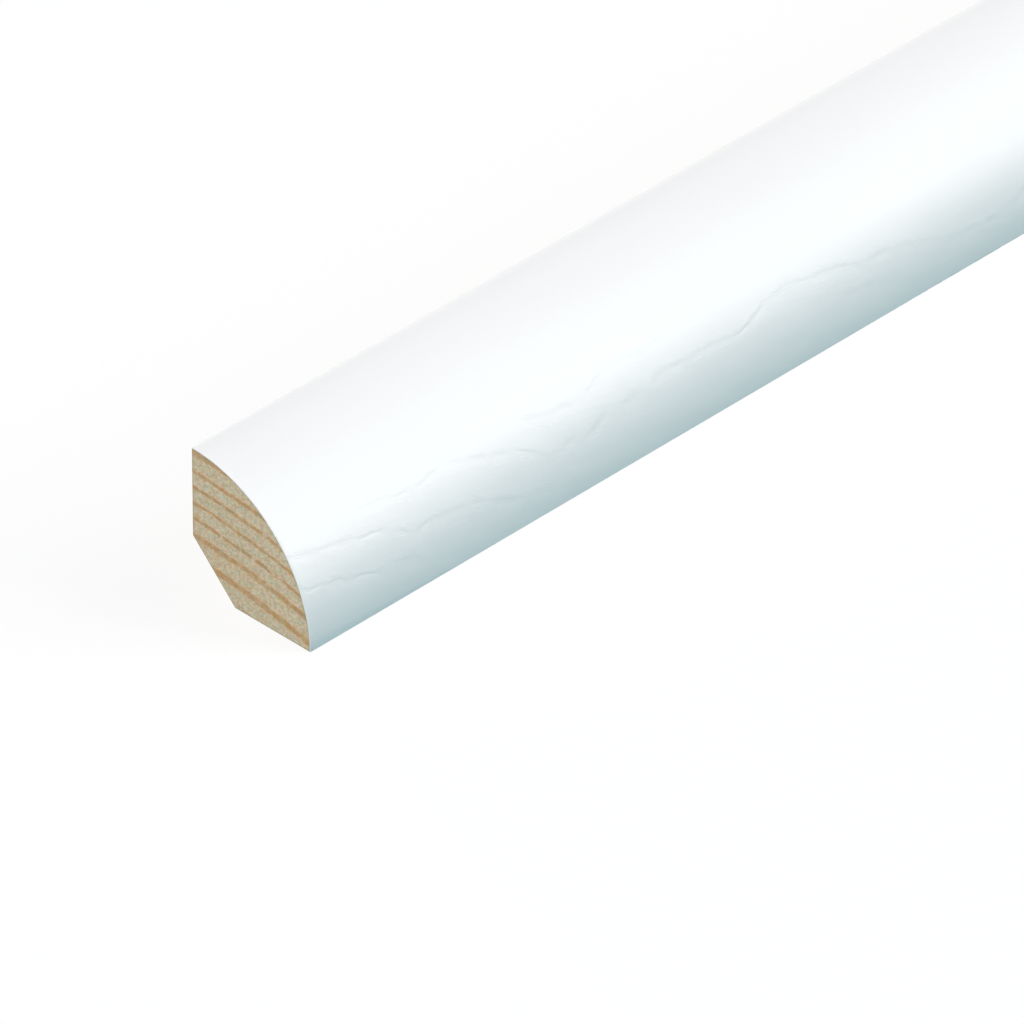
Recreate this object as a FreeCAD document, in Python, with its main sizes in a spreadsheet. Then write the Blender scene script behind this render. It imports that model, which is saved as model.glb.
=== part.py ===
import FreeCAD, Part
import math
import os
import Sketcher

# Quarter round moulding: one length of planed softwood, cut square at both ends.
# The length runs along X, centred on the origin. The wall face looks towards +Y,
# the floor face lies on Z = 0, and the round face joins their outer edges on the -Y side.

doc = FreeCAD.newDocument("quarter_round_moulding")

# Driving dimensions in millimetres
dimensions = {
    "face_radius": "14",     # reach up the wall and out over the floor
    "corner_relief": "5",    # legs of the 45 degree cut that clears the wall-to-floor corner
    "stock_length": "2400",  # length that the stock is sold in
}

sheet = doc.addObject("Spreadsheet::Sheet", "Dimensions")
for row, (alias, value) in enumerate(dimensions.items(), start=1):
    sheet.set(f"A{row}", alias)
    sheet.set(f"B{row}", value)
    sheet.setAlias(f"B{row}", alias)
doc.recompute()

# The body and its cross-section, drawn across the length: sketch x is Y and sketch y is Z
body = doc.addObject("PartDesign::Body", "Moulding")
body.Label = "quarter_round"
cross_plane = next(item for item in body.Origin.OriginFeatures if item.Role == "YZ_Plane")
section = body.newObject("Sketcher::SketchObject", "Section")
section.AttachmentSupport = [(cross_plane, "")]
section.MapMode = "FlatFace"

# Corners of the section, clockwise from the top of the wall face
radius = sheet.face_radius
relief = sheet.corner_relief
wall_y = radius / 2
room_corner = FreeCAD.Vector(wall_y, 0, 0)
wall_top = FreeCAD.Vector(wall_y, radius, 0)
wall_foot = FreeCAD.Vector(wall_y, relief, 0)
floor_heel = FreeCAD.Vector(wall_y - relief, 0, 0)
floor_toe = FreeCAD.Vector(-wall_y, 0, 0)

# The three flat faces and the round face, a true quarter circle about the room's corner
full_circle = Part.Circle(room_corner, FreeCAD.Vector(0, 0, 1), radius)
wall_face = section.addGeometry(Part.LineSegment(wall_top, wall_foot), False)
relief_face = section.addGeometry(Part.LineSegment(wall_foot, floor_heel), False)
floor_face = section.addGeometry(Part.LineSegment(floor_heel, floor_toe), False)
round_face = section.addGeometry(Part.ArcOfCircle(full_circle, math.pi / 2, math.pi), False)

# Places on a sketch element are numbered from 1, and the sketch's own axes count down from -1
start, end, centre = range(1, 4)
level_axis, upright_axis = range(-1, -3, -1)


def constrain(*terms):
    return section.addConstraint(Sketcher.Constraint(*terms))


def drive(name, alias, *terms):
    section.renameConstraint(constrain(*terms), name)
    section.setExpression(f"Constraints.{name}", f"{sheet.Name}.{alias}")


# Closed outline
constrain("Coincident", round_face, start, wall_face, start)
constrain("Coincident", wall_face, end, relief_face, start)
constrain("Coincident", relief_face, end, floor_face, start)
constrain("Coincident", floor_face, end, round_face, end)

# Wall face upright, floor face on the ground, the arc's centre where their planes meet
constrain("Vertical", wall_face)
constrain("Horizontal", floor_face)
constrain("Vertical", round_face, centre, wall_face, start)
constrain("PointOnObject", floor_face, end, level_axis)
constrain("Symmetric", floor_face, end, round_face, centre, upright_axis)

# Sizes from the sheet
drive("face_radius", "face_radius", "Radius", round_face, radius)
drive("relief_height", "corner_relief", "DistanceY", round_face, centre, wall_face, end, relief)
drive("relief_depth", "corner_relief", "DistanceX", floor_face, start, round_face, centre, relief)
doc.recompute()
if not section.FullyConstrained:
    raise RuntimeError("the section is not fully constrained")

# The section runs the whole length, half of it to each side of the origin
stock = body.newObject("PartDesign::Pad", "Stock")
stock.Profile = section
stock.SideType = "Symmetric"
stock.setExpression("Length", f"{sheet.Name}.stock_length")
body.Tip = stock
doc.recompute()

# Every object has to be sound before anything is written
for item in doc.Objects:
    if "Invalid" in item.State or "Error" in item.State:
        raise RuntimeError(f"{item.Label} failed: {item.State}")
if body.Shape.isNull() or not body.Shape.isValid():
    raise RuntimeError(f"{body.Label} has no sound shape")

os.makedirs("parts", exist_ok=True)
body.Shape.exportStep(f"parts/{body.Label}.step")
print(f"{body.Label}: {body.Shape.Volume:.1f} mm3, {len(body.Shape.Faces)} faces")
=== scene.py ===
import math
import bmesh
import bpy
import numpy as np
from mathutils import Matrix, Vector, noise


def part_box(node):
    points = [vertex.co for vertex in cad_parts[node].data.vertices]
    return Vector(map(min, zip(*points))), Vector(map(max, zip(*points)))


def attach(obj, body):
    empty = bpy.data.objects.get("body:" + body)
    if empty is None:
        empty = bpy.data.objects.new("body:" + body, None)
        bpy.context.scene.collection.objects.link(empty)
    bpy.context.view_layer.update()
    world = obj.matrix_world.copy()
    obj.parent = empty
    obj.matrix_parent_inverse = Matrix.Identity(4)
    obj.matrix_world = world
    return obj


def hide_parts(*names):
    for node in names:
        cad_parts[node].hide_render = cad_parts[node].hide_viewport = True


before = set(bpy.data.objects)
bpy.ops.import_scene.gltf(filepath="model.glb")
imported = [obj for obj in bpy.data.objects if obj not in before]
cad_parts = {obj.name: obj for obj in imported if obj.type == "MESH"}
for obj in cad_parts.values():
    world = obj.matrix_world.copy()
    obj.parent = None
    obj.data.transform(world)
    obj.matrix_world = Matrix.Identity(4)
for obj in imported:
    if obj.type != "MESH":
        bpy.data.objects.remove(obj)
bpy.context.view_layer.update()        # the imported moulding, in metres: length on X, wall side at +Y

mm = 0.001
fullTurn = 2 * math.pi
quarterTurn = math.pi / 2
scene = bpy.context.scene
scene.view_settings.view_transform = "Standard"

# sizes read from the frame
low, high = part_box("quarter_round")
nearEnd, farEnd = low.x, high.x                # the near end is the cut end in front of the camera
middleX = (nearEnd + farEnd) / 2
wallY, toeY = high.y, low.y
floorZ = low.z
radius = high.z - low.z
onWall = wallY - 0.01 * mm                     # corners past this lie on the wall face
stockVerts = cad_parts["quarter_round"].data.vertices
wallFoot = min(vert.co.z for vert in stockVerts if vert.co.y > onWall)
reliefLeg = wallFoot - floorZ                  # legs of the cut behind the wall-to-floor corner
print(f"frame: radius {radius / mm:.1f} mm, relief {reliefLeg / mm:.1f} mm,",
      f"length {(farEnd - nearEnd) / mm:.0f} mm")

mixShare, mixFirst, mixSecond, mixColour = 0, 6, 7, 2      # sockets of a Mix node that mixes colours


# one output socket, with arithmetic that adds Math nodes
class Wire:
    def __init__(self, socket):
        self.socket = socket
        self.tree = socket.id_data

    def node(self, kind, settings, sockets, output=0):
        made = self.tree.nodes.new(kind)
        for name, value in settings.items():
            if name == "stops":
                fillRamp(made.color_ramp, value)
            else:
                setattr(made, name, value)
        for place, value in sockets.items():
            if isinstance(value, Wire):
                self.tree.links.new(value.socket, made.inputs[place])
            else:
                made.inputs[place].default_value = value
        return Wire(made.outputs[output]) if made.outputs else None

    def other(self, name):
        return Wire(self.socket.node.outputs[name])

    def maths(self, operation, first, second=0.0):
        return self.node("ShaderNodeMath", {"operation": operation}, {0: first, 1: second})

    def __add__(self, other):
        return self.maths("ADD", self, other)

    def __radd__(self, other):
        return self.maths("ADD", other, self)

    def __sub__(self, other):
        return self.maths("SUBTRACT", self, other)

    def __rsub__(self, other):
        return self.maths("SUBTRACT", other, self)

    def __mul__(self, other):
        return self.maths("MULTIPLY", self, other)

    def __rmul__(self, other):
        return self.maths("MULTIPLY", other, self)

    def __truediv__(self, other):
        return self.maths("DIVIDE", self, other)

    def sine(self):
        return self.maths("SINE", self)

    def root(self):
        return self.maths("SQRT", self)

    def fraction(self):
        return self.maths("FRACT", self)

    def least(self, other):
        return self.maths("MINIMUM", self, other)

    # 0 at start, 1 at end, eased between them
    def ease(self, start, end):
        sockets = {"Value": self, "From Min": start, "From Max": end}
        return self.node("ShaderNodeMapRange", {"interpolation_type": "SMOOTHSTEP"}, sockets)

    # noise whose grains are about as long as size, drawn out along X by stretch
    def noise(self, size, stretch=1.0, detail=2.0, roughness=0.5, shift=0.0):
        drawn = self.node("ShaderNodeVectorMath", {"operation": "MULTIPLY_ADD"},
                          {0: self, 1: (1 / stretch, 1.0, 1.0), 2: (shift, shift, shift)})
        return self.node("ShaderNodeTexNoise", {},
                         {"Vector": drawn, "Scale": 1 / size, "Detail": detail, "Roughness": roughness})

    # the second colour over the first, by this share
    def tint(self, first, second, blend="MIX"):
        settings = {"data_type": "RGBA", "blend_type": blend}
        sockets = {mixShare: self, mixFirst: first, mixSecond: second}
        return self.node("ShaderNodeMix", settings, sockets, mixColour)

    # normal of a surface with this height in metres
    def bump(self):
        return self.node("ShaderNodeBump", {}, {"Height": self, "Distance": 1.0, "Strength": 1.0})


def fillRamp(ramp, stops):
    ramp.elements.remove(ramp.elements[1])
    for count, (place, colour) in enumerate(stops):
        stop = ramp.elements.new(place) if count else ramp.elements[0]
        stop.position = place
        stop.color = colour


def startMaterial(name):
    material = bpy.data.materials.new(name)
    material.use_nodes = True
    material.node_tree.nodes.clear()
    where = Wire(material.node_tree.nodes.new("ShaderNodeTexCoord").outputs["Object"])
    return material, where


def finishMaterial(where, sockets):
    shader = where.node("ShaderNodeBsdfPrincipled", {}, sockets)
    where.node("ShaderNodeOutputMaterial", {}, {"Surface": shader})


def splitAxes(where):
    x = where.node("ShaderNodeSeparateXYZ", {}, {0: where})
    return x, x.other("Y"), x.other("Z")


# white satin finish of the round face
# a fade is the pair of noise values at which a pattern starts and is full
whiteFinish = dict(
    colour=(0.882, 0.881, 0.878, 1),
    shade=(0.868, 0.867, 0.863, 1),     # faint thin places in the film
    cloud=9 * mm,                       # size of those places
    cloudFade=(0.35, 0.75),
    roughness=0.38,
    roughnessSpread=0.06,
    peel=0.35 * mm,                     # size of the roller's orange peel
    peelHeight=0.0032 * mm,
    grain=0.5 * mm,                     # wood grain that shows through the film
    grainHeight=0.0085 * mm,
    grainDive=0.22,                     # how steeply that grain runs down the round face
    fibre=0.17 * mm,                    # fibres that lift the film beside a grain line
    fibreFade=(0.40, 0.68),
    fibreHeight=0.0065 * mm,
    tuft=0.9 * mm,                      # size of the tufts that the fibres stand in
    tuftFade=(0.38, 0.60),
    flowName="grainFlow",               # mesh attribute: metres up from the grain's trend
    besideName="grainBeside",           # mesh attribute: closeness to a grain line
)


def makeWhiteFinish():
    material, where = startMaterial("white satin finish")
    x, y, z = splitAxes(where)
    upFace = x.maths("ARCTAN2", z - floorZ, wallY - y) * radius
    slanted = where.node("ShaderNodeCombineXYZ", {}, {0: x, 1: upFace + x * whiteFinish["grainDive"]})
    cloud = where.noise(whiteFinish["cloud"], stretch=8, detail=3)
    peel = where.noise(whiteFinish["peel"], stretch=1.5, detail=1)
    grain = slanted.noise(whiteFinish["grain"], stretch=14, detail=2, shift=3.1)
    offTrend = where.node("ShaderNodeAttribute", {"attribute_name": whiteFinish["flowName"]}, {}, "Fac")
    besideGrain = where.node("ShaderNodeAttribute", {"attribute_name": whiteFinish["besideName"]}, {}, "Fac")
    flowing = where.node("ShaderNodeCombineXYZ", {}, {0: x, 1: offTrend})
    fibres = flowing.noise(whiteFinish["fibre"], stretch=6, detail=3, shift=5.9)
    tufts = flowing.noise(whiteFinish["tuft"], stretch=2.5, detail=1, shift=2.2)
    lifted = besideGrain * tufts.ease(*whiteFinish["tuftFade"]) * fibres.ease(*whiteFinish["fibreFade"])
    relief = peel * whiteFinish["peelHeight"] + grain * whiteFinish["grainHeight"]
    relief = relief + lifted * whiteFinish["fibreHeight"]
    thin = cloud.ease(*whiteFinish["cloudFade"])
    finishMaterial(where, {
        "Base Color": thin.tint(whiteFinish["colour"], whiteFinish["shade"]),
        "Roughness": whiteFinish["roughness"] + (cloud - 0.5) * whiteFinish["roughnessSpread"],
        "Normal": relief.bump(),
    })
    return material


# pine: growth rings about the heart of the log, shared by the end grain and the planed faces
pine = dict(
    heart=(10.2 * mm, -69.0 * mm),      # Y and Z of the log's heart at the near end
    # radius of each ring in mm and how bold its late wood is
    rings=[(60.4, 0.7), (62.5, 0.6), (64.4, 0.9), (66.2, 0.6), (68.1, 0.7), (69.9, 0.1), (71.85, 1.0),
           (74.2, 0.95), (75.95, 0.75), (77.5, 0.7), (79.1, 0.75), (80.75, 0.7), (82.7, 1.2), (84.4, 0.7),
           (86.3, 0.6), (88.4, 0.9), (90.1, 0.6), (92.2, 0.7)],
    wave=1.2 * mm,                      # how far the rings weave along the length
    waveLength=52 * mm,
    drift=6 * mm,                       # slow drift of the whole log
    driftLength=1900 * mm,
    wobble=0.35 * mm,                   # how far a ring strays from its circle
    wobbleSize=3.2 * mm,
    ragged=0.22 * mm,                   # raggedness of its edges
    raggedSize=0.24 * mm,
    # half-width of a bold ring's late wood, as a share of the gap between rings: least, and what noise adds
    lateWidth=(0.055, 0.14),
    unevenSize=1.1 * mm,
    lateOutside=(1.8, 0.8),             # half-widths at which the late wood is gone and is full
    lateInside=(1.7, 0.6),
    border=(4.4, 1.5),                  # the same for the warmer wood beside it
    breakSize=0.75 * mm,                # places where a ring breaks off
    breakFade=(0.67, 0.73),
    breakShare=0.85,
    faintSize=0.8 * mm,                 # places where it is faint
    faintFade=(0.66, 0.34),
    faintest=0.62,
    mottle=1.3 * mm,                    # size of the orange and brown stretches of late wood
    mottleFade=(0.45, 0.75),
    early=(0.757, 0.584, 0.394, 1),     # early wood between the rings
    pale=(1.14, 1.18, 1.25, 1),         # its flecks, each a share of that colour
    tan=(0.85, 0.81, 0.76, 1),
    rose=(1.045, 0.965, 0.958, 1),
    moss=(0.925, 1.012, 1.020, 1),
    straw=(1.0, 1.0, 0.915, 1),
    ash=(1.0, 1.0, 1.085, 1),
    amber=(1.065, 0.985, 0.925, 1),     # warm border of a ring
    orange=(0.588, 0.338, 0.151, 1),    # late wood of the rings
    brown=(0.466, 0.322, 0.187, 1),
    edge=(0.44, 0.313, 0.17, 1),        # bruised rim of the saw cut, and resin ducts
)


# a band along a ring, from the pairs of half-widths at which it is gone and is full
def ringBand(beyond, width, outside, inside):
    outerSide = beyond.ease(width * outside[0], width * outside[1])
    innerSide = (1 - beyond).ease(width * inside[0], width * inside[1])
    return outerSide + innerSide


# late wood of the rings, and the warmer wood beside it
def ringMask(where, y, z, t):
    ringCount = len(pine["rings"])
    inner, outer = pine["rings"][0][0] * mm, pine["rings"][-1][0] * mm
    weave = pine["wave"] * (1 - (t * (fullTurn / pine["waveLength"]) + quarterTurn).sine())
    drop = weave + pine["drift"] * (t * (fullTurn / pine["driftLength"])).sine()
    across = y - pine["heart"][0]
    upward = z + drop - pine["heart"][1]
    wobble = (where.noise(pine["wobbleSize"], stretch=4, detail=1) - 0.5) * pine["wobble"]
    ragged = (where.noise(pine["raggedSize"], stretch=12, detail=2, shift=9.2) - 0.5) * pine["ragged"]
    reach = (across * across + upward * upward).root() + wobble + ragged
    stops = []
    for count, (ringRadius, bold) in enumerate(pine["rings"]):
        place = (ringRadius * mm - inner) / (outer - inner)
        stops.append((place, (count / (ringCount - 1), bold, 0, 1)))
    ramp = where.node("ShaderNodeValToRGB", {"stops": stops}, {0: (reach - inner) / (outer - inner)})
    number = where.node("ShaderNodeSeparateColor", {}, {0: ramp})
    bold = number.other("Green")
    beyond = (number * (ringCount - 1)).fraction()      # 0 on a ring, 1 just short of the next one out
    uneven = where.noise(pine["unevenSize"], stretch=6, detail=2, shift=1.7)
    least, more = pine["lateWidth"]
    width = bold * (least + more * uneven)
    late = ringBand(beyond, width, pine["lateOutside"], pine["lateInside"])
    border = ringBand(beyond, width, pine["border"], pine["border"])
    broken = where.noise(pine["breakSize"], stretch=10, detail=1, shift=5.3).ease(*pine["breakFade"])
    clear = where.noise(pine["faintSize"], stretch=6, detail=2, shift=3.7).ease(*pine["faintFade"])
    strength = pine["faintest"] + (1 - pine["faintest"]) * clear
    return late * (1 - pine["breakShare"] * broken) * strength, border


# distance from the rim of the section, inwards
def rimDistance(y, z):
    toWall = wallY - y
    toFloor = z - floorZ
    toRound = radius - (toWall * toWall + toFloor * toFloor).root()
    toRelief = (toWall + toFloor - reliefLeg) / math.sqrt(2)
    return toRound.least(toRelief).least(toWall.least(toFloor))


def lateWood(where):
    mottle = where.noise(pine["mottle"], stretch=6, detail=2, shift=12.4)
    return mottle.ease(*pine["mottleFade"]).tint(pine["orange"], pine["brown"])


# the cut ends, as the saw leaves them
sawnEnd = dict(
    sawAngle=-40,                       # degrees that the saw's scratches slant
    sawStretch=1.3,                     # how long they are for their width
    scratch=0.22 * mm,
    scratchHeight=0.014 * mm,
    spot=0.26 * mm,                     # pale and tan flecks
    spotFade=(0.36, 0.64),
    spotLoss=0.5,                       # how much of the flecks the late wood loses
    patch=0.58 * mm,                    # rose and moss tints
    mote=0.50 * mm,                     # straw and ash tints
    upperFade=(0.48, 0.60),             # of a pair of tints, the first takes the high noise values
    lowerFade=(0.50, 0.38),
    bruise=(0.24 * mm, 0.08 * mm),      # distance from the rim at which the bruise starts and is full
    bruiseShare=0.6,
    ringHeight=0.012 * mm,              # how far the hard late wood stands up
    roughness=0.86,
    ringGloss=0.14,                     # how much smoother it is
)


def makeEndGrain():
    material, where = startMaterial("sawn pine end grain")
    x, y, z = splitAxes(where)
    rings, border = ringMask(where, y, z, x - nearEnd)
    slant = (math.radians(sawnEnd["sawAngle"]), 0, 0)
    scratched = where.node("ShaderNodeMapping", {"vector_type": "TEXTURE"},
                           {"Vector": where, "Rotation": slant, "Scale": (1, sawnEnd["sawStretch"], 1)})
    spots = scratched.noise(sawnEnd["spot"], detail=4, roughness=0.75)
    patches = where.noise(sawnEnd["patch"], detail=3, roughness=0.62, shift=2.9)
    motes = where.noise(sawnEnd["mote"], detail=3, roughness=0.65, shift=8.3)
    flecks = spots.ease(*sawnEnd["spotFade"]).tint(pine["tan"], pine["pale"])
    wood = rings.tint(pine["early"], lateWood(where))
    wood = (1 - sawnEnd["spotLoss"] * rings).tint(wood, flecks, "MULTIPLY")
    for tints, upper, lower in ((patches, "rose", "moss"), (motes, "straw", "ash")):
        wood = tints.ease(*sawnEnd["upperFade"]).tint(wood, pine[upper], "MULTIPLY")
        wood = tints.ease(*sawnEnd["lowerFade"]).tint(wood, pine[lower], "MULTIPLY")
    wood = border.tint(wood, pine["amber"], "MULTIPLY")
    bruise = rimDistance(y, z).ease(*sawnEnd["bruise"])
    scratches = scratched.noise(sawnEnd["scratch"], detail=2, shift=7.7)
    relief = scratches * sawnEnd["scratchHeight"] + rings * sawnEnd["ringHeight"]
    finishMaterial(where, {
        "Base Color": (sawnEnd["bruiseShare"] * bruise).tint(wood, pine["edge"]),
        "Roughness": sawnEnd["roughness"] - sawnEnd["ringGloss"] * rings,
        "Normal": relief.bump(),
    })
    return material


# the wall, floor and relief faces, as the planer leaves them
planedFace = dict(
    fibre=0.30 * mm,
    fibreHeight=0.010 * mm,
    cloud=4 * mm,                       # broad rosy places
    cloudFade=(0.45, 0.65),
    streakMix=(0.65, 0.35),             # shares of fibres and clouds in the streaks
    streakFade=(0.30, 0.70),
    streakShare=0.8,
    streakLoss=0.4,                     # how much of the streaks the late wood loses
    duct=0.16 * mm,                     # short dark resin ducts
    ductFade=(0.70, 0.76),
    ductShare=0.55,
    ringShare=0.85,
    ringHeight=0.010 * mm,
    borderShare=0.5,
    ragged=0.9 * mm,                    # raggedness of the white overspray along the round face
    overspray=(0.85 * mm, 0.35 * mm),   # distance from the edge at which it is gone and is full
    oversprayShare=0.9,
    planerPitch=1.7 * mm,               # marks of the planer's knives
    planerHeight=0.0012 * mm,
    roughness=0.74,
    ringGloss=0.12,
    fibreRoughness=0.08,
)


def makePlanedPine():
    material, where = startMaterial("planed pine")
    x, y, z = splitAxes(where)
    rings, border = ringMask(where, y, z, x - nearEnd)
    fibres = where.noise(planedFace["fibre"], stretch=45, detail=3, roughness=0.6)
    clouds = where.noise(planedFace["cloud"], stretch=12, detail=2, shift=4.2)
    ducts = where.noise(planedFace["duct"], stretch=30, detail=1, shift=8.8).ease(*planedFace["ductFade"])
    fibreShare, cloudShare = planedFace["streakMix"]
    streaks = (fibreShare * fibres + cloudShare * clouds).ease(*planedFace["streakFade"])
    streaks = streaks.tint(pine["tan"], pine["pale"])
    streaked = planedFace["streakShare"] - planedFace["streakLoss"] * rings
    wood = (planedFace["ringShare"] * rings).tint(pine["early"], lateWood(where))
    wood = streaked.tint(wood, streaks, "MULTIPLY")
    wood = (planedFace["borderShare"] * border).tint(wood, pine["tan"], "MULTIPLY")
    wood = clouds.ease(*planedFace["cloudFade"]).tint(wood, pine["rose"], "MULTIPLY")
    wood = (planedFace["ductShare"] * ducts).tint(wood, pine["edge"])
    ragged = where.noise(planedFace["ragged"], stretch=3, detail=2, shift=6.1) * planedFace["ragged"]
    overspray = ((high.z - z).least(y - toeY) + ragged).ease(*planedFace["overspray"])
    planer = (x * (fullTurn / planedFace["planerPitch"])).sine()
    relief = fibres * planedFace["fibreHeight"] + rings * planedFace["ringHeight"]
    relief = relief + planer * planedFace["planerHeight"]
    dull = planedFace["roughness"] - planedFace["ringGloss"] * rings + planedFace["fibreRoughness"] * fibres
    finishMaterial(where, {
        "Base Color": (planedFace["oversprayShare"] * overspray).tint(wood, whiteFinish["colour"]),
        "Roughness": dull,
        "Normal": relief.bump(),
    })
    return material


finishes = [makeWhiteFinish(), makeEndGrain(), makePlanedPine()]
whiteSlot, endSlot, pineSlot = range(len(finishes))
print(f"materials: {', '.join(material.name for material in finishes)}")


moulding = dict(
    arrisEase=0.07 * mm,        # rounding along the four long edges
    endEase=0.07 * mm,          # rounding round the rim of each cut end
    easeSteps=2,
    closeStretch=100 * mm,      # length of finer mesh at the near end
    closeStep=0.4 * mm,
    farSteps=690,               # mesh steps over the rest of the length, one of them at the middle
    gapLines=4,                 # mesh lines on the round face between two grain lines
    grainDepth=0.026 * mm,
    # a groove along each grain line: offset up the face, and height in shares of the depth
    grainProfile=[(-0.45 * mm, 0.0), (-0.22 * mm, -0.45), (-0.08 * mm, -1.0), (0.0, -0.5), (0.08 * mm, 0.0),
                  (0.20 * mm, 0.0)],
    crispAt=0.9,                # strength at which a grain line is crisp
    softest=3.2,                # how much wider a weak line is
    fadedAt=0.25,               # strength below which a line takes less room
    fadedWidth=0.25,            # share of its width that is left when it is gone
    fibresAt=0.3,               # strength from which the fibres beside a line are full
    swell=0.0180 * mm,          # height of the soft unevenness of the film
    swellLength=2.6 * mm,
    swellWidth=9,               # degrees up the round face
    swellSlant=1.2,             # degrees that it dives for each mm
    swellFade=6,                # degrees over which it fades out towards the two long edges
    swellLayer=2.5,             # layer of the noise
    swellFiner=(0.5, 2.3),      # share of the finer lumps in it, and how much finer they are
)


# growth rings that show as lines in the white film, lowest first
# path: mm from the near end, degrees up the round face; strength: mm from the end, share of the depth
grainLines = [
    dict(path=[(0, 25.5), (1.2, 22.8), (3, 21.7), (4.5, 20.8), (4.9, 19), (6, 18.8), (7, 17.7), (8.3, 15.6),
               (10, 16.2), (11, 15.5), (12.5, 13.8), (13.6, 11.2), (18, 6), (24, 3.5), (31, 3.5), (44, 5.5),
               (60, 6), (78, 2.8), (88, 2.8), (100, 7)],
         strength=[(0, 0.6), (1, 0.85), (2.2, 0.8), (3, 0.5), (6.2, 0.55), (7.2, 0.85), (8.6, 0.8),
                   (9.6, 0.3), (13.4, 0.2), (14.5, 0), (100, 0)]),
    dict(path=[(0, 36.8), (1.5, 35), (3, 33.8), (5, 32.7), (7, 31), (8, 29.8), (10, 28.7), (11, 27),
               (13.2, 22), (14, 22), (15.5, 22.8), (17.5, 21.8), (20, 21), (21, 19.3), (25, 13),
               (26.5, 12.5), (29, 10), (33, 12), (60, 14), (66, 17), (70, 16), (78, 7.2), (88, 6.6),
               (100, 16)],
         strength=[(0, 0.55), (3, 0.6), (5, 0.7), (7, 0.7), (7.9, 0.95), (9.6, 0.95), (10.2, 0.35),
                   (11, 0.4), (12.5, 0.55), (15.5, 0.58), (20, 0.5), (23, 0.55), (25, 0.4), (28, 0.3),
                   (30, 0), (64, 0), (66, 0.25), (69, 0.2), (71, 0), (100, 0)]),
    dict(path=[(0, 46), (7, 40.5), (9, 38.6), (11.5, 38.2), (13, 36.2), (16, 36), (18.5, 38), (20, 36.8),
               (22.5, 33.2), (25.5, 30.2), (27, 27.5), (29.5, 21), (30.5, 20.3), (31.8, 22), (34.3, 20.5),
               (36.5, 24.5), (38, 25), (42, 24.5), (43, 27), (44.5, 27.8), (46, 26.3), (49.5, 27),
               (51, 25.8), (53, 25.2), (55.5, 27.8), (57, 30.5), (60, 31.7), (62, 29.9), (66, 28),
               (68, 24.8), (72, 24), (74, 22.5), (80, 15.5), (83, 14), (88, 14), (100, 26)],
         strength=[(0, 0), (6, 0), (8, 0.4), (11, 0.44), (14, 0.48), (19, 0.48), (21, 0.4), (25, 0.4),
                   (28, 0.42), (33.5, 0.4), (34.2, 0.34), (36.5, 0.34), (37.5, 0.4), (39, 0.32), (42, 0.32),
                   (44, 0.4), (46, 0.38), (51, 0.4), (52.2, 0.68), (54, 0.68), (55, 0.45), (61, 0.42),
                   (62.3, 0.65), (66, 0.65), (67.5, 0.4), (72, 0.35), (85, 0.3), (100, 0.3)]),
    dict(path=[(0, 57), (20, 46), (31, 34), (32, 34.5), (34, 33.5), (36, 35), (37, 37.5), (39, 39), (40, 38),
               (43, 37), (48, 40), (60, 44), (72, 36), (100, 40)],
         strength=[(0, 0), (26, 0), (29, 0.46), (34, 0.58), (38, 0.5), (42, 0.46), (46, 0.33), (51, 0),
                   (100, 0)]),
    dict(path=[(0, 69), (30, 54), (60, 58), (100, 52)],
         strength=[(0, 0), (100, 0)]),
    dict(path=[(0, 80), (30, 70), (60, 73), (100, 66)],
         strength=[(0, 0), (100, 0)]),
]

# how those lines break up close to the near end; lengths in mm, angles in degrees
# a seed is the step between two lines' places in the noise, and the layer of the noise
nearGrain = dict(
    bead=0.8,                   # beads along a line
    beadSpread=1.7,
    beadLeast=0.12,
    beadSeed=(3.1, 23.5),
    tear=3.1,                   # between the places where a line breaks off and starts again lower
    tearStart=0.875,
    tearSway=(0.4, 0.37),       # share of a tear that those places stray, and how fast
    tearDrop=0.7,
    tearSharp=5,                # how fast a line fades at its tears
    jitter=0.45,                # how far a line trembles
    jitterLength=0.75,
    jitterSeed=(7.3, 0.5),
)

# how they run along the rest of the length
farGrain = dict(
    start=85,
    blend=30,                   # length over which the near lines become the far ones
    lowest=13,
    apart=12.2,
    waves=[(4.5, 31, 0.4, 0.0), (2.6, 13.3, 0.0, 0.7)],     # height, length, start, what a line adds
    stray=2.2,
    strayLength=9,
    straySeed=(5.7, 6.5),
    beats=[(47, 2.1), (109, 1.3)],                          # coming and going: length, what a line adds
    strength=(0.3, 0.7),        # strength, and how far the beats change it
    bead=11,
    beadSeed=(2.3, 3.5),
)


# noise along a grain line, between -1 and 1
def tremble(along, length, order, seed):
    rowStep, layer = seed
    return noise.noise(Vector((along / length, rowStep * order, layer)))


# stray in degrees, and what the beads and the tears leave of the strength
def tearLine(order, along):
    beads = 1 + nearGrain["beadSpread"] * tremble(along, nearGrain["bead"], order, nearGrain["beadSeed"])
    swayShare, swaySpeed = nearGrain["tearSway"]
    tears = along / nearGrain["tear"] + nearGrain["tearStart"]
    tears += swayShare * math.sin(swaySpeed * along + order)
    torn = tears % 1 - 0.5                     # 0 half-way between two tears
    stray = nearGrain["tearDrop"] * torn
    stray += nearGrain["jitter"] * tremble(along, nearGrain["jitterLength"], order, nearGrain["jitterSeed"])
    whole = min(1.0, nearGrain["tearSharp"] * (0.5 - abs(torn)))
    return stray, max(nearGrain["beadLeast"], beads), whole


# path in degrees and strength of a line far from the near end
def farLine(order, along):
    path = farGrain["lowest"] + farGrain["apart"] * order
    wander = sum(height * math.sin(along / length + start + step * order)
                 for height, length, start, step in farGrain["waves"])
    wander += farGrain["stray"] * tremble(along, farGrain["strayLength"], order, farGrain["straySeed"])
    beats = math.prod(math.sin(along / length + step * order) for length, step in farGrain["beats"])
    level, change = farGrain["strength"]
    share = max(0.0, level + change * beats)
    return path + wander, share * (1 + tremble(along, farGrain["bead"], order, farGrain["beadSeed"]))


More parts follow.
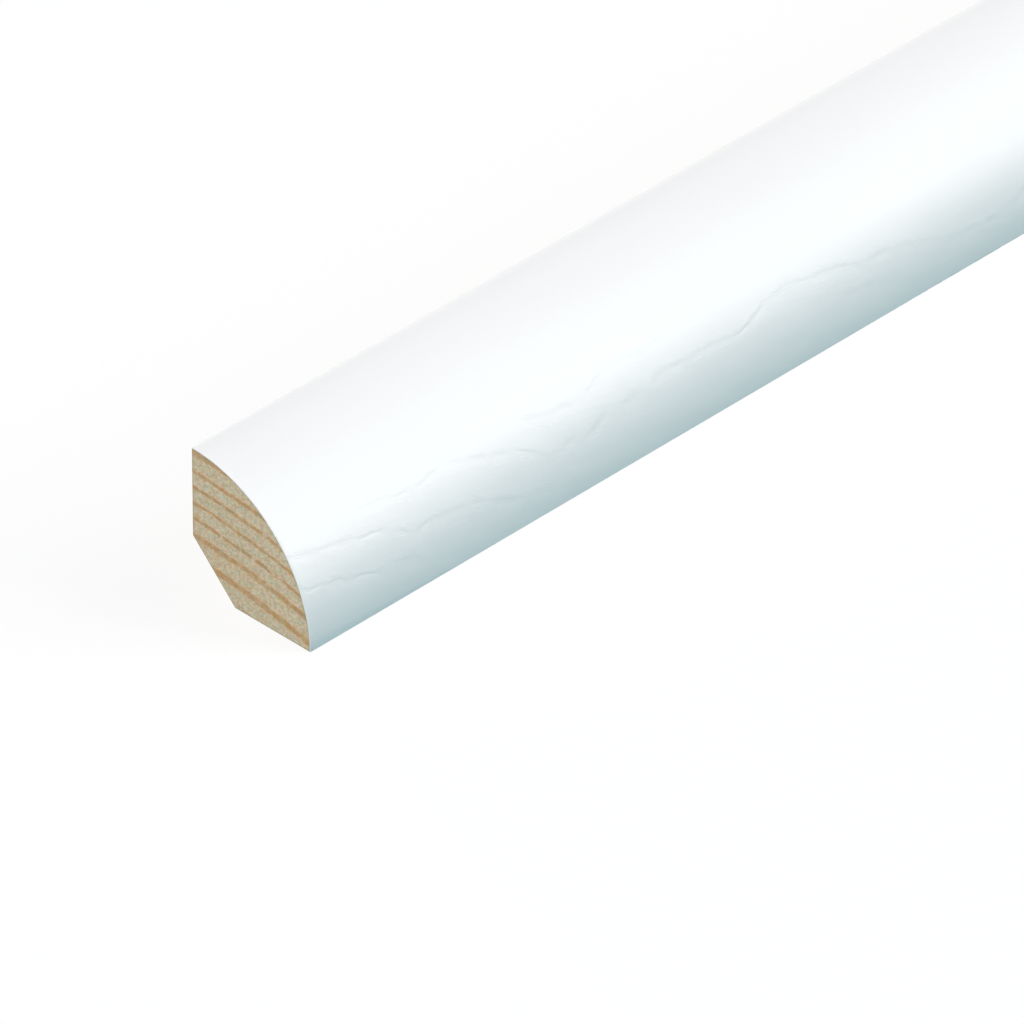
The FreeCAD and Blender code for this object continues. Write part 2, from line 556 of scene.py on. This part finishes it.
# path in degrees, angle with its tears, and depth share of one grain line, t metres from the near end
def grainAt(order, line, t):
    along = t / mm
    nearPath = np.interp(along, *zip(*line["path"]))
    nearShare = np.interp(along, *zip(*line["strength"]))
    stray, beads, whole = tearLine(order, along)
    nearShare *= beads
    nearShare *= whole
    farPath, farShare = farLine(order, along)
    far = min(1.0, max(0.0, (along - farGrain["start"]) / farGrain["blend"]))
    path = nearPath + far * (farPath - nearPath)
    return path, path + (1 - far) * stray, nearShare + far * (farShare - nearShare)


# mesh lines of the round face: the gap lines, then the lines of the first grain line, and so on
profileCount = len(moulding["grainProfile"])
lineCount = len(grainLines) * profileCount + (len(grainLines) + 1) * moulding["gapLines"]
roundSteps = lineCount + 1


# width of a groove, in shares of a crisp one's
def grooveSpread(share):
    spread = 1 + (moulding["softest"] - 1) * max(0.0, 1 - share / moulding["crispAt"])
    left = moulding["fadedWidth"]
    return spread * (left + (1 - left) * min(1.0, share / moulding["fadedAt"]))


# soft unevenness of the film
def filmSwell(angle, t):
    fade = min(1.0, angle / moulding["swellFade"], (90 - angle) / moulding["swellFade"])
    upFace = (angle + moulding["swellSlant"] * t / mm) / moulding["swellWidth"]
    place = Vector((t / moulding["swellLength"], upFace, moulding["swellLayer"]))
    finerShare, finer = moulding["swellFiner"]
    lumps = noise.noise(place) + finerShare * noise.noise(place * finer)
    return fade * moulding["swell"] * lumps


# angle, height, way up from the grain's trend and closeness to a grain line
# of every mesh line of the round face, t metres from the near end
def roundLines(t):
    anchors, angles, paths = [0], [0.0], []
    heights = np.zeros(roundSteps + 1)
    beside = np.zeros(roundSteps + 1)
    for order, line in enumerate(grainLines):
        path, angle, share = grainAt(order, line, t)
        paths.append(path)
        spread = grooveSpread(share)
        first = (order + 1) * moulding["gapLines"] + order * profileCount + 1
        for count, (offset, height) in enumerate(moulding["grainProfile"]):
            anchors.append(first + count)
            angles.append(angle + spread * math.degrees(offset / radius))
            heights[first + count] = share * spread * height * moulding["grainDepth"]
            beside[first + count] = min(1.0, share / moulding["fibresAt"])
    anchors.append(roundSteps)
    angles.append(90.0)
    angles = np.interp(range(roundSteps + 1), anchors, angles)
    for count, angle in enumerate(angles):
        heights[count] += filmSwell(angle, t)
    flow = np.radians(angles - np.mean(paths)) * radius
    return angles, heights, flow, beside


# cross-section at the near end: the toe spun up to the top of the wall face, then round the flats
def drawSection(bm):
    toe = bm.verts.new((nearEnd, toeY, floorZ))
    roomCorner = (nearEnd, wallY, floorZ)
    spun = bmesh.ops.spin(bm, geom=[toe], cent=roomCorner, axis=(-1, 0, 0), angle=quarterTurn,
                          steps=roundSteps)
    top = next(item for item in spun["geom_last"] if isinstance(item, bmesh.types.BMVert))
    foot = bmesh.ops.extrude_vert_indiv(bm, verts=[top])["verts"][0]
    foot.co = (nearEnd, wallY, floorZ + reliefLeg)
    heel = bmesh.ops.extrude_vert_indiv(bm, verts=[foot])["verts"][0]
    heel.co = (nearEnd, wallY - reliefLeg, floorZ)
    bm.edges.new((heel, toe))
    bmesh.ops.contextual_create(bm, geom=bm.edges[:])
    bmesh.ops.bevel(bm, geom=[toe, top, foot, heel], offset=moulding["arrisEase"], offset_type="OFFSET",
                    affect="VERTICES", segments=moulding["easeSteps"], profile=0.5, material=-1)


# only the edges along the stock span more of X than the section is wide
def runsAlong(edge):
    return abs(edge.verts[0].co.x - edge.verts[1].co.x) > radius


# the section drawn out to the full length, its ends eased, its long edges cut into short steps
def runOutStock(bm):
    grown = bmesh.ops.extrude_face_region(bm, geom=bm.faces[:])
    farVerts = [item for item in grown["geom"] if isinstance(item, bmesh.types.BMVert)]
    bmesh.ops.translate(bm, verts=farVerts, vec=(farEnd - nearEnd, 0, 0))
    rims = [edge for edge in bm.edges if not runsAlong(edge)]
    bmesh.ops.bevel(bm, geom=rims, offset=moulding["endEase"], offset_type="OFFSET", affect="EDGES",
                    segments=moulding["easeSteps"], profile=0.5, material=-1, clamp_overlap=False)
    bmesh.ops.recalc_face_normals(bm, faces=bm.faces[:])
    sortFaces(bm)
    splitX = nearEnd + moulding["closeStretch"]
    cutSlack = 0.0001 * mm
    bmesh.ops.bisect_plane(bm, geom=bm.verts[:] + bm.edges[:] + bm.faces[:], plane_co=(splitX, 0, 0),
                           plane_no=(1, 0, 0), dist=cutSlack)
    longEdges = [edge for edge in bm.edges if runsAlong(edge)]
    closeEdges = [edge for edge in longEdges if edge.verts[0].co.x + edge.verts[1].co.x < 2 * splitX]
    farEdges = [edge for edge in longEdges if edge.verts[0].co.x + edge.verts[1].co.x > 2 * splitX]
    closeSteps = round(moulding["closeStretch"] / moulding["closeStep"])
    bmesh.ops.subdivide_edges(bm, edges=closeEdges, cuts=closeSteps - 1, use_grid_fill=True)
    bmesh.ops.subdivide_edges(bm, edges=farEdges, cuts=moulding["farSteps"] - 1, use_grid_fill=True)
    bm.normal_update()


# distance of a place from the corner of the room, which is the centre of the round face
def fromCorner(place):
    return math.hypot(wallY - place.y, place.z - floorZ)


# finish and shading of each face, while the section is still exact
def sortFaces(bm):
    squareOn, sideways = 0.999, 0.001          # lean towards X of the cut ends and of the long faces
    skin = 0.005 * mm                          # the long edges' easing lies deeper than this
    for face in bm.faces:
        reach = fromCorner(face.calc_center_median())
        if abs(face.normal.x) > squareOn:
            face.material_index = endSlot
        elif reach > radius - moulding["endEase"]:
            face.material_index = whiteSlot
            face.smooth = reach > radius - skin and abs(face.normal.x) < sideways
        else:
            face.material_index = pineSlot


# layout of the colours when they are baked: two halves of each long face in rows, the cut ends as squares
bakeMap = dict(
    name="OFBake",              # baked colours go through a map of this name
    # height of a half's row
    rows=dict(roundFace=0.140, wallFace=0.075, reliefFace=0.060, floorFace=0.075),
    gap=0.006,                  # between rows, and round the edge
    endSide=0.240,              # side of a cut end's square
    endLean=0.2,                # faces that lean this far towards X go with their cut end
    flatLean=0.95,              # and this far towards the wall or the floor, with that face
)


def rowOf(face):
    if fromCorner(face.calc_center_median()) > radius - moulding["arrisEase"]:
        return "roundFace"
    if face.normal.y > bakeMap["flatLean"]:
        return "wallFace"
    return "floorFace" if face.normal.z < -bakeMap["flatLean"] else "reliefFace"


# share of the way across a row, going round the section from the toe
def acrossRow(row, place):
    flatWidth = radius - reliefLeg
    if row == "roundFace":
        share = math.atan2(place.z - floorZ, wallY - place.y) / quarterTurn
    elif row == "wallFace":
        share = (floorZ + radius - place.z) / flatWidth
    elif row == "reliefFace":
        share = (wallY - place.y) / reliefLeg
    else:
        share = (wallY - reliefLeg - place.y) / flatWidth
    return min(1.0, max(0.0, share))


def layBakeMap(bm):
    layer = bm.loops.layers.uv.new(bakeMap["name"])
    gap, endSide = bakeMap["gap"], bakeMap["endSide"]
    rowFoot = {}
    foot = gap
    for half in (0, 1):
        for row, height in bakeMap["rows"].items():
            rowFoot[half, row] = foot
            foot += height + gap
    halfLength = farEnd - middleX
    for face in bm.faces:
        half = 1 if face.calc_center_median().x > middleX else 0
        row = rowOf(face)
        onEnd = abs(face.normal.x) > bakeMap["endLean"]
        for loop in face.loops:
            place = loop.vert.co
            if onEnd:
                outward = place.y - toeY if half else wallY - place.y
                across = gap + half * (endSide + gap) + endSide * outward / radius
                up = foot + endSide * (place.z - floorZ) / radius
            else:
                across = gap + (1 - 2 * gap) * (place.x - (middleX if half else nearEnd)) / halfLength
                up = rowFoot[half, row] + bakeMap["rows"][row] * acrossRow(row, place)
            loop[layer].uv = (across, up)


# each mesh line of the round face slides to its angle, and the grain lines sink into the film
def pressGrain(bm):
    flowLayer = bm.verts.layers.float.new(whiteFinish["flowName"])
    besideLayer = bm.verts.layers.float.new(whiteFinish["besideName"])
    lineSlack = 0.02                           # share of a step that a point may lie off its mesh line
    sameStation = 0.1 * mm
    skinDepth = 1.05 * moulding["endEase"]     # the rim's easing is part of the round face
    stations = {}
    for vert in bm.verts:
        reach = fromCorner(vert.co)
        number = math.degrees(math.atan2(vert.co.z - floorZ, wallY - vert.co.y)) / 90 * roundSteps
        order = round(number)
        onLine = abs(number - order) < lineSlack and 0 < order < roundSteps
        if reach < radius - skinDepth or not onLine:
            continue
        key = round(vert.co.x / sameStation)
        if key not in stations:
            stations[key] = roundLines(vert.co.x - nearEnd)
        angles, heights, flow, beside = stations[key]
        turn = math.radians(angles[order])
        reach += heights[order]
        vert[flowLayer] = flow[order]
        vert[besideLayer] = beside[order]
        vert.co.y = wallY - reach * math.cos(turn)
        vert.co.z = floorZ + reach * math.sin(turn)
    return len(stations)


def makeMoulding():
    bm = bmesh.new()
    drawSection(bm)
    runOutStock(bm)
    layBakeMap(bm)
    stationCount = pressGrain(bm)
    mesh = bpy.data.meshes.new("quarter_round_moulding")
    bm.to_mesh(mesh)
    bm.free()
    for material in finishes:
        mesh.materials.append(material)
    piece = bpy.data.objects.new("quarter_round_moulding", mesh)
    scene.collection.objects.link(piece)
    triangles = sum(len(polygon.vertices) - 2 for polygon in mesh.polygons)
    print(f"moulding: {stationCount} stations, {roundSteps + 1} lines up the round face,",
          f"{triangles} triangles")
    return piece


piece = makeMoulding()
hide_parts("quarter_round")
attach(piece, "root")


# pale floor and studio light
studio = dict(
    skyLight=(0.030, 0.080, 0.107, 1),   # soft cool light from all round, as the object meets it
    bounce=(0.0, 0.235, 0.285, 1),       # cool light that comes back up from the floor
    paper=(0.99, 0.99, 0.99, 1),         # the floor as it is seen
    white=(1, 1, 1, 1),
    floorGlow=0.79,                      # share of the floor that is lit evenly, the rest takes the shadow
    floorSize=400.0,
    floorDrop=0.02 * mm,
    # direction to the lamp, strength at which white paper is white, spread in degrees, colour,
    # and whether a sheen shows it
    lamps=dict(
        key=((-0.70, 0.0, 0.714), 0.867, 8, (1, 0.955, 0.955), False),
        sheenLow=((0.585, -0.733, 0.348), 0.290, 30, (1, 0.99, 0.96), True),
        sheenHigh=((0.585, -0.516, 0.626), 0.357, 45, (1, 0.965, 0.935), True),
        backFill=((0.25, 0.967, 0.03), 0.88, 3, (1, 0.91, 0.80), False),
    ),
)


# 1 for what the camera sees straight, in a reflection or through glass
def seenDirectly(tree):
    seen = Wire(tree.nodes.new("ShaderNodeLightPath").outputs["Is Camera Ray"])
    return seen + seen.other("Is Glossy Ray") + seen.other("Is Transmission Ray")


def makeFloor():
    material = bpy.data.materials.new("pale floor")
    material.use_nodes = True
    material.node_tree.nodes.clear()
    seen = seenDirectly(material.node_tree)
    bounce = seen.node("ShaderNodeBsdfDiffuse", {}, {"Color": studio["bounce"]})
    paper = seen.node("ShaderNodeBsdfDiffuse", {}, {"Color": studio["paper"]})
    glow = seen.node("ShaderNodeEmission", {}, {"Color": studio["white"], "Strength": 1.0})
    shown = seen.node("ShaderNodeMixShader", {}, {0: studio["floorGlow"], 1: paper, 2: glow})
    surface = seen.node("ShaderNodeMixShader", {}, {0: seen, 1: bounce, 2: shown})
    seen.node("ShaderNodeOutputMaterial", {}, {"Surface": surface})
    bm = bmesh.new()
    bmesh.ops.create_grid(bm, x_segments=1, y_segments=1, size=studio["floorSize"])
    bmesh.ops.translate(bm, verts=bm.verts[:], vec=(0, 0, floorZ - studio["floorDrop"]))
    mesh = bpy.data.meshes.new("pale_floor")
    bm.to_mesh(mesh)
    bm.free()
    mesh.materials.append(material)
    floor = bpy.data.objects.new("pale_floor", mesh)
    scene.collection.objects.link(floor)


def makeSky():
    world = bpy.data.worlds.new("studio")
    world.use_nodes = True
    world.node_tree.nodes.clear()
    seen = seenDirectly(world.node_tree)
    colour = seen.tint(studio["skyLight"], studio["white"])
    light = seen.node("ShaderNodeBackground", {}, {"Color": colour, "Strength": 1.0})
    seen.node("ShaderNodeOutputWorld", {}, {"Surface": light})
    scene.world = world


def hangLamps():
    for name, (toward, strength, spread, colour, inSheen) in studio["lamps"].items():
        lamp = bpy.data.lights.new(name, "SUN")
        lamp.energy = strength * math.pi
        lamp.angle = math.radians(spread)
        lamp.color = colour
        hung = bpy.data.objects.new(name, lamp)
        hung.rotation_mode = "QUATERNION"
        hung.rotation_quaternion = Vector(toward).to_track_quat("Z", "Y")
        hung.visible_glossy = inSheen
        scene.collection.objects.link(hung)


makeFloor()
makeSky()
hangLamps()
print(f"studio: floor, sky and {len(studio['lamps'])} lamps")


# the photograph's view of the near end
shot = dict(
    azimuth=-45.80,        # degrees round from looking along +Y
    elevation=35.35,
    roll=0.41,
    lens=390.25,
    sensor=36.0,
    distance=933.75 * mm,
    right=26.81 * mm,      # where the camera aims, from the near end's room corner
    up=6.01 * mm,
    nearest=0.05,          # metres that the camera sees from and to
    farthest=500.0,
)


def placeCamera():
    azimuth, elevation, roll = (math.radians(shot[name]) for name in ("azimuth", "elevation", "roll"))
    outward = math.cos(elevation)
    back = Vector((math.sin(azimuth) * outward, -math.cos(azimuth) * outward, math.sin(elevation)))
    level = Vector((math.cos(azimuth), math.sin(azimuth), 0))
    upright = back.cross(level)
    right = math.cos(roll) * level + math.sin(roll) * upright
    up = math.cos(roll) * upright - math.sin(roll) * level
    data = bpy.data.cameras.new("camera")
    data.lens = shot["lens"]
    data.sensor_width = shot["sensor"]
    data.clip_start = shot["nearest"]
    data.clip_end = shot["farthest"]
    camera = bpy.data.objects.new("camera", data)
    turned = camera.matrix_world.copy()
    aim = Vector((nearEnd, wallY, floorZ)) + right * shot["right"] + up * shot["up"]
    place = aim + back * shot["distance"]
    for count, axis in enumerate((right, up, back, place)):
        turned.col[count] = (*axis, 1.0 if count == 3 else 0.0)
    camera.matrix_world = turned
    scene.collection.objects.link(camera)
    scene.camera = camera


placeCamera()
print(f"camera: lens {shot['lens']} mm, {shot['distance'] / mm:.0f} mm from the near end")
